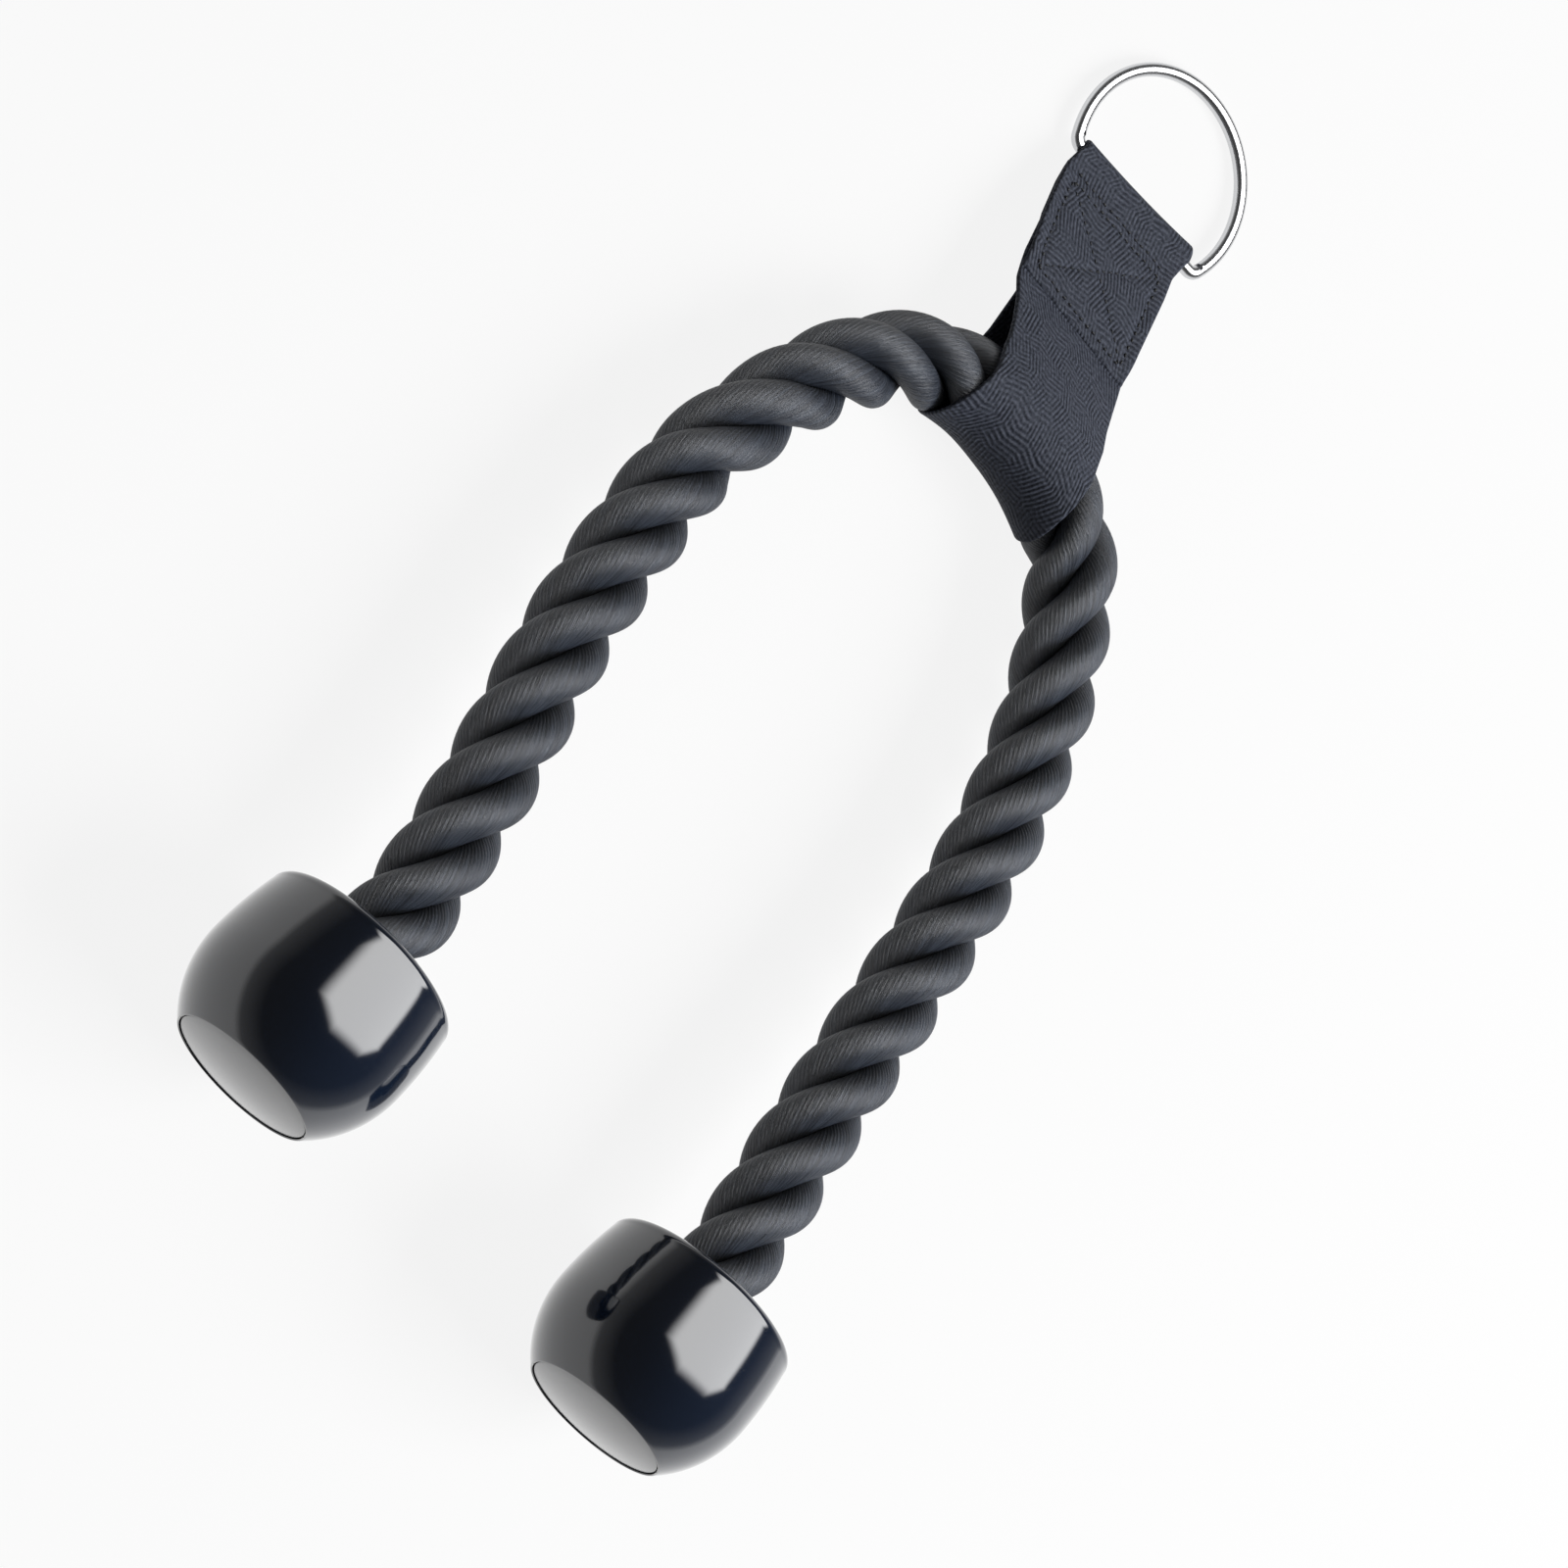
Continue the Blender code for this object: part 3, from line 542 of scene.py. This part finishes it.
def on_strap(station, across_by, lift):
    """Points of the webbing, from distances along it, places across it, and how far they stand
    off its middle layer."""
    station, across_by, lift = np.broadcast_arrays(station, across_by, lift)
    view = np.stack([np.interp(station, stations, strap_view[:, k]) for k in range(2)], -1)
    heading = np.stack([np.interp(station, stations, view_heading[:, k]) for k in range(2)], -1)
    along = view[..., 0] - lift * heading[..., 1]
    height = view[..., 1] + lift * heading[..., 0]
    height = height - END_PRESSED * np.clip(1 - station / END_PRESSED_FOR, 0, 1) ** 2
    left, right = (np.interp(station, EDGES_AT, edge_by) for edge_by in (LEFT_EDGE, RIGHT_EDGE))
    width_share = across_by / WEBBING_WIDTH + 0.5
    over = left + (right - left) * width_share
    loop_end, crease_at = LOOP_RADIUS + WEBBING_THICKNESS, STRAP_LENGTH - SLEEVE_LENGTH
    slack = SLEEVE_SLACK[0] + (SLEEVE_SLACK[1] - SLEEVE_SLACK[0]) * width_share ** 2
    along = along + slack * np.clip(along - STRAP_LENGTH, 0, 1)
    share = np.clip((along - loop_end) / (crease_at - loop_end), 0, 1)
    turn = ROPE_TURN + (BAR_TURN - ROPE_TURN) * share * share * (3 - 2 * share)
    steps = (np.minimum(along, loop_end), np.clip(along, loop_end, crease_at) - loop_end,
             np.maximum(along - crease_at, 0))
    x, y = APEX[0], APEX[1]
    for distance, angle in zip(steps, (ROPE_TURN, STRAP_LEAN, BAR_TURN)):
        x, y = x - distance * math.sin(angle), y + distance * math.cos(angle)
    hold = np.clip(1 - (np.abs(along) - BOW_FULL) / BOW_FADES, 0, 1)
    bow = np.interp(over, bow_across, bow_amount) * hold
    return np.stack([x + over * np.cos(turn) + bow * bow_way[0],
                     y + over * np.sin(turn) + bow * bow_way[1], height], -1)


# Where the webbing's two edges lie, along its length. Its plies aren't quite in line, the sewing
# draws them in, the fold spreads over the D-ring's corners, and the loop drifts with the rope.
EDGES_AT = np.array([
    0, 10, 20, 30, 37, 42, 45.6, 49.8, 51.5, 54, 57, 60, 70, 82, 101.8,
    120, 140, 156, 164, 171, 175, 186, 191, 198, 207, 214, 220, 229, 245, 261]) / MM
EDGES_AT += RAW_END - STACK_LENGTH
LEFT_EDGE = np.array([
    -26.9, -27.1, -26.9, -26.3, -25.5, -24.6, -23.4, -23.2, -21.9, -20.6, -21.2, -23.3, -24.7,
    -25.2, -23.4, -21.8, -22.4, -22.8, -22.9, -22.8, -22.7, -22.1, -22.5, -23.6, -23.9, -24.9,
    -27.0, -27.2, -25.8, -25.0]) / MM
RIGHT_EDGE = np.array([
    20.0, 20.6, 21.4, 22.2, 22.3, 22.9, 23.7, 22.7, 22.9, 23.0, 22.4, 21.6, 20.8, 20.6, 20.4,
    20.4, 22.2, 24.9, 24.9, 24.0, 23.2, 21.9, 21.6, 20.7, 19.7, 19.9, 20.1, 20.2, 19.9, 19.6]) / MM
SLEEVE_SLACK = (-0.20, 0.55)    # how much wider the sleeve is than the bar needs, left and right
END_PRESSED = 0.0019            # the raw end is pressed down by this much, over this length
END_PRESSED_FOR = 0.010
END_BEAD = 0.00030              # the melted bead that seals it, standing out by this much
END_BEAD_AT, END_BEAD_WIDTH = 0.0007, 0.0005

# The stitching, a box with a cross and a second row at the sleeve, as distances from the bar
# and places across.
BOX_NEAR, BOX_FAR, BOX_SIDE, SECOND_ROW = 0.0125, 0.0448, 0.0187, 0.0030
SEAMS = [
    ((BOX_NEAR, -BOX_SIDE), (BOX_NEAR, BOX_SIDE)), ((BOX_FAR, -BOX_SIDE), (BOX_FAR, BOX_SIDE)),
    ((BOX_NEAR, -BOX_SIDE), (BOX_FAR, -BOX_SIDE)), ((BOX_NEAR, BOX_SIDE), (BOX_FAR, BOX_SIDE)),
    ((BOX_NEAR, -BOX_SIDE), (BOX_FAR, BOX_SIDE)), ((BOX_NEAR, BOX_SIDE), (BOX_FAR, -BOX_SIDE)),
    ((BOX_NEAR - SECOND_ROW, -BOX_SIDE), (BOX_NEAR - SECOND_ROW, BOX_SIDE)),
]
SEAM_DEPTH, SEAM_WIDTH = 0.00038, 0.0013
from_lower = np.linalg.norm(side_view - at(SLEEVE_LENGTH, -PLY_PITCH), axis=1)
lower_start = view_run[int(np.argmin(from_lower))]


def seam_dip(station, across_by):
    """How far the stitching pulls the webbing's outer face in, in the upper and lower plies."""
    upper, lower = RAW_END - station, station - lower_start + SLEEVE_LENGTH
    from_bar = np.where(station < RAW_END, upper, lower)
    sewn = (station < RAW_END - SLEEVE_LENGTH) | ((lower > SLEEVE_LENGTH) & (lower < STACK_LENGTH))
    least = np.full(np.broadcast(from_bar, across_by).shape, np.inf)
    for (a0, b0), (a1, b1) in SEAMS:
        a, b = a1 - a0, b1 - b0
        share = ((from_bar - a0) * a + (across_by - b0) * b) / (a ** 2 + b ** 2)
        share = np.clip(share, 0, 1)
        gap = np.hypot(from_bar - a0 - share * a, across_by - b0 - share * b)
        least = np.minimum(least, gap)
    return SEAM_DEPTH * np.exp(-(least / SEAM_WIDTH) ** 2) * sewn


half_width = WEBBING_WIDTH / 2
edge = EDGE_ROUND * (1 - np.cos(np.radians(EDGE_ANGLES)))
inner = np.linspace(-half_width + EDGE_ROUND, half_width - EDGE_ROUND, WIDTH_STEPS)[1:-1]
over_top = np.r_[-half_width + edge, inner, (half_width - edge)[::-1]]
beyond = np.clip(np.abs(over_top) - half_width + EDGE_ROUND, 0, EDGE_ROUND) / EDGE_ROUND
rise = half * np.sqrt(1 - beyond ** 2)
across_by = np.r_[over_top, over_top[-2:0:-1]]
bead = END_BEAD * np.exp(-((stations - END_BEAD_AT) / END_BEAD_WIDTH) ** 2)
lift = np.r_[rise, -rise[-2:0:-1]][None, :] * (1 + bead / half)[:, None]
lift = lift - seam_dip(stations[:, None], across_by[None, :])
strap_grid = on_strap(stations[:, None], across_by[None, :], lift)
rows, columns = lift.shape
i, j = np.meshgrid(np.arange(rows - 1), np.arange(columns), indexing="ij")
j2, row, next_row = (j + 1) % columns, i * columns, (i + 1) * columns
faces = np.stack([row + j, next_row + j, next_row + j2, row + j2], -1).reshape(-1, 4).tolist()
first_end = list(range(columns))
faces += [first_end, [(rows - 1) * columns + c for c in reversed(first_end)]]
u = np.r_[over_top, 2 * over_top[-1] - over_top[-2::-1]] * MM
v = stations * MM
places = np.stack([u[j], v[i], u[j], v[i + 1], u[j + 1], v[i + 1], u[j + 1], v[i]], -1)
places = np.vstack([places.reshape(-1, 2), np.zeros((2 * columns, 2))])

# Charcoal nylon webbing. Its fine ribs run nearly along it in some places and straight across it
# in others, where the twill turns, 1.3 to 1.6 mm apart, and the matt nylon keeps a weak sheen.
RIB_MM, RIB_SLANT, RIB_TURN_MM = 1.3, 0.34, 9.0
RIDGE_MM, RIDGE_SLANT, RIDGE_TURN_MM = 1.6, 0.25, 6.0
PATCHES, FLECKS = 0.11, 0.9     # patches of one rib or the other, and flecks, in a millimetre
# Painted shade: the grooves between the ribs are painted darker than the ribs.
WEAVE_GROOVE_SHADE = 0.16               # how much darker the grooves between the ribs are
RELIEF_HEIGHT = 0.00014
webbing_material, tree, shader = new_material(
    "charcoal_nylon_webbing", Roughness=0.65, IOR=1.53, Specular_IOR_Level=0.12)
webbing_place = add_node(tree, "ShaderNodeTexCoord").outputs["UV"]
spot = add_node(tree, "ShaderNodeSeparateXYZ", links={"Vector": webbing_place})
waves = []
for run_by, slant_by, slant_size, turn_every, spacing in (
    ("X", "Y", RIB_SLANT, RIB_TURN_MM, RIB_MM), ("Y", "X", RIDGE_SLANT, RIDGE_TURN_MM, RIDGE_MM),
):
    slant = maths(tree, "PINGPONG", spot.outputs[slant_by], turn_every)
    line = maths(tree, "MULTIPLY_ADD", slant, slant_size, spot.outputs[run_by])
    waves.append(maths(tree, "SINE", maths(tree, "MULTIPLY", line, math.tau / spacing)))
patch = add_node(tree, "ShaderNodeTexNoise", {"noise_dimensions": "2D"}, {
    "Vector": webbing_place, "Scale": PATCHES, "Detail": 1.0})
patch_share = add_node(tree, "ShaderNodeMapRange", {}, {
    "Value": patch.outputs["Fac"], "From Min": 0.34, "From Max": 0.66})
weave = add_node(tree, "ShaderNodeMix", {"data_type": "FLOAT"}, {
    0: patch_share.outputs["Result"], 2: waves[0], 3: waves[1]}).outputs[0]
fleck = add_node(tree, "ShaderNodeTexNoise", {"noise_dimensions": "2D"}, {
    "Vector": webbing_place, "Scale": FLECKS, "Detail": 4.0, "Roughness": 0.65})
# The colour is painted darker in the grooves between the ribs, as painted shade, and mottled at
# random by the flecks.
shade = add_node(tree, "ShaderNodeMapRange", {}, {
    "Value": maths(tree, "MULTIPLY_ADD", weave, WEAVE_GROOVE_SHADE, fleck.outputs["Fac"]),
    "From Min": 0.25, "From Max": 0.8})
colour_between(tree, shader, shade.outputs["Result"], "#171a22", "#464a55")
add_bumps(tree, shader, weave, strength=0.8, distance=RELIEF_HEIGHT)

STRAP_SHARP_FROM = math.radians(60)
strap = mesh_piece("strap_webbing", strap_grid.reshape(-1, 3), faces, places, webbing_material)
strap.data.set_sharp_from_angle(angle=STRAP_SHARP_FROM)
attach(strap, "strap")
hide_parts("webbing_strap")

# Bonded polyester thread, lock-stitched through all three plies, every 2.6 mm. It sinks into the
# groove that it pulls, a little unevenly, and the cross shows less than the rows.
STITCH_LENGTH, STITCH_GAP, THREAD_RADIUS, THREAD_SIDES = 0.0026, 0.0010, 0.00036, 8
CROSS_THREAD, THREAD_VARIES, STITCH_SWAY = 0.7, (0.75, 1.1), 0.00022
OUTWARD_STEP = 0.001            # only for finding which way the webbing faces
sway = np.random.default_rng(seed=5)
STITCH_RISE = np.array([-0.0004, 0.0000, 0.00016, 0.0002, 0.00016, 0.0000, -0.0004])
STITCH_SIZE = np.array([0.35, 0.9, 1.0, 1.0, 1.0, 0.9, 0.35])
thread_material, tree, shader = new_material("black_bonded_thread", Roughness=0.5, IOR=1.5)
colour_between(tree, shader, even_noise(tree, scale=4000.0), "#0a0c11", "#15181e")
rings = len(STITCH_RISE)
quads = []
for first in range(0, (rings - 1) * THREAD_SIDES, THREAD_SIDES):
    for s in range(THREAD_SIDES):
        s2, on = (s + 1) % THREAD_SIDES, first + THREAD_SIDES
        quads.append([first + s, first + s2, on + s2, on + s])
ends = range(THREAD_SIDES)
quads += [list(reversed(ends)), [(rings - 1) * THREAD_SIDES + s for s in ends]]
round_thread = (2 * np.pi * np.arange(THREAD_SIDES) / THREAD_SIDES)[None, :, None]
along_stitch = np.linspace(STITCH_GAP / 2, STITCH_LENGTH - STITCH_GAP / 2, rings) / STITCH_LENGTH
stitch_corners, stitch_faces = [], []
for lower in (False, True):
    for (a0, b0), (a1, b1) in SEAMS:
        count = int(round(math.hypot(a1 - a0, b1 - b0) / STITCH_LENGTH))
        for n in range(count):
            share = (n + along_stitch) / count
            shift = sway.uniform(-STITCH_SWAY, STITCH_SWAY, 2)
            from_bar = a0 + (a1 - a0) * share + shift[0]
            over = b0 + (b1 - b0) * share + shift[1]
            station = lower_start - SLEEVE_LENGTH + from_bar if lower else RAW_END - from_bar
            base_lift = half - seam_dip(station, over)
            middle = on_strap(station, over, base_lift + STITCH_RISE)
            out = on_strap(station, over, base_lift + OUTWARD_STEP)
            out -= on_strap(station, over, base_lift)
            out /= np.linalg.norm(out, axis=1)[:, None]
            heading = np.gradient(middle, axis=0)
            heading /= np.linalg.norm(heading, axis=1)[:, None]
            beside = np.cross(heading, out)
            thread = THREAD_RADIUS * sway.uniform(*THREAD_VARIES)
            if a0 != a1 and b0 != b1:
                thread *= CROSS_THREAD
            size = (thread * STITCH_SIZE)[:, None, None]
            tube = middle[:, None, :] + size * (
                np.cos(round_thread) * out[:, None, :] + np.sin(round_thread) * beside[:, None, :])
            offset = len(stitch_corners) * rings * THREAD_SIDES
            stitch_corners.append(tube.reshape(-1, 3))
            stitch_faces += [[c + offset for c in quad] for quad in quads]
stitching = mesh_piece(
    "strap_stitching", np.vstack(stitch_corners), stitch_faces, material=thread_material)
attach(stitching, "strap")


# Floor and light.
# A plain pale table, two lamps on the right, and a dim plain room that is brighter near the
# table's level. The table shows white to the camera and in reflections, and an eighth of what it
# shows is its own light grey, which takes the soft shadow.
FLOOR_REACH = 6.0
FLOOR_SHOWN = 0.88
FLOOR_CORNERS = [(-FLOOR_REACH, -FLOOR_REACH, 0), (FLOOR_REACH, -FLOOR_REACH, 0),
                 (FLOOR_REACH, FLOOR_REACH, 0), (-FLOOR_REACH, FLOOR_REACH, 0)]
floor_mesh = bpy.data.meshes.new("floor")
floor_mesh.from_pydata(FLOOR_CORNERS, [], [(0, 1, 2, 3)])
floor = bpy.data.objects.new("floor", floor_mesh)
bpy.context.collection.objects.link(floor)
floor_material, tree, shader = new_material(
    "white_table", Base_Color=hexed("#cfcfcf"), Roughness=0.9, Specular_IOR_Level=0.0)
seen = add_node(tree, "ShaderNodeLightPath")
sight = maths(tree, "MAXIMUM", seen.outputs["Is Camera Ray"], seen.outputs["Is Glossy Ray"])
sight = maths(tree, "MAXIMUM", sight, seen.outputs["Is Transmission Ray"])
white = add_node(tree, "ShaderNodeEmission", {}, {"Color": (1, 1, 1, 1), "Strength": 1.0})
shown = add_node(tree, "ShaderNodeMixShader", {}, {
    0: maths(tree, "MULTIPLY", sight, FLOOR_SHOWN), 1: shader.outputs[0], 2: white.outputs[0]})
tree.links.new(shown.outputs[0], tree.nodes["Material Output"].inputs["Surface"])
floor_mesh.materials.append(floor_material)

# The key light stands low on the right, and only lights. The softbox over it is an eight-sided one
# that only shows in the shiny parts, brightest in its middle.
KEY_FROM, KEY_SIZE, KEY_RADIANCE = Vector((1.75, 0.20, 1.40)), (1.5, 1.3), 15.5
SOFTBOX_AT, SOFTBOX_SIZE, SOFTBOX_RADIANCE = Vector((0.90, 0.80, 2.0)), (4.05, 2.85), 5.5
SOFTBOX_CORNER, SOFTBOX_EDGE = 0.30, 0.16   # its cut corners and soft edge, as shares of its size
for name, place, size, radiance, facing in (
    ("key_light", KEY_FROM, KEY_SIZE, KEY_RADIANCE, KEY_FROM),
    ("softbox", SOFTBOX_AT, SOFTBOX_SIZE, SOFTBOX_RADIANCE, Vector((0, 0, 1))),
):
    lamp = bpy.data.lights.new(name, "AREA")
    lamp.shape = "RECTANGLE"
    lamp.size, lamp.size_y = size
    lamp.energy = radiance * math.pi * size[0] * size[1]
    light = bpy.data.objects.new(name, lamp)
    light.location = place
    light.rotation_euler = facing.to_track_quat("Z", "Y").to_euler()
    light.visible_diffuse = name == "key_light"
    light.visible_glossy = name == "softbox"
    bpy.context.collection.objects.link(light)

# The softbox's own shape: it fades out towards its sides and its cut corners.
lamp.use_nodes = True
tree = lamp.node_tree
over_lamp = add_node(tree, "ShaderNodeSeparateXYZ", links={
    "Vector": add_node(tree, "ShaderNodeNewGeometry").outputs["Parametric"]})
from_end, from_side = [maths(tree, "PINGPONG", over_lamp.outputs[k], 0.5) for k in (0, 1)]
from_corner = maths(tree, "SUBTRACT", maths(tree, "ADD", from_end, from_side), SOFTBOX_CORNER)
nearest = maths(tree, "MINIMUM", maths(tree, "MINIMUM", from_end, from_side), from_corner)
glow = add_node(tree, "ShaderNodeMapRange", {"interpolation_type": "SMOOTHSTEP"}, {
    "Value": nearest, "From Min": 0.0, "From Max": SOFTBOX_EDGE})
tree.links.new(glow.outputs["Result"], tree.nodes["Emission"].inputs["Strength"])

# The room's brightness, from the table's level, 0, to straight above, 1.
SKY = [(0.0, 0.80), (0.10, 0.30), (0.45, 0.06), (1.0, 0.05)]
world = bpy.data.worlds.new("studio")
bpy.context.scene.world = world
world.use_nodes = True
tree = world.node_tree
height = add_node(tree, "ShaderNodeSeparateXYZ", links={
    "Vector": add_node(tree, "ShaderNodeTexCoord").outputs["Generated"]})
ramp = add_node(tree, "ShaderNodeValToRGB", {}, {0: height.outputs["Z"]})
for n, (at_height, level) in enumerate(SKY):
    stop = ramp.color_ramp.elements[n] if n < 2 else ramp.color_ramp.elements.new(at_height)
    stop.position, stop.color = at_height, (level, level, level, 1)
tree.links.new(ramp.outputs[0], tree.nodes["Background"].inputs["Color"])
bpy.context.scene.view_settings.view_transform = "Standard"
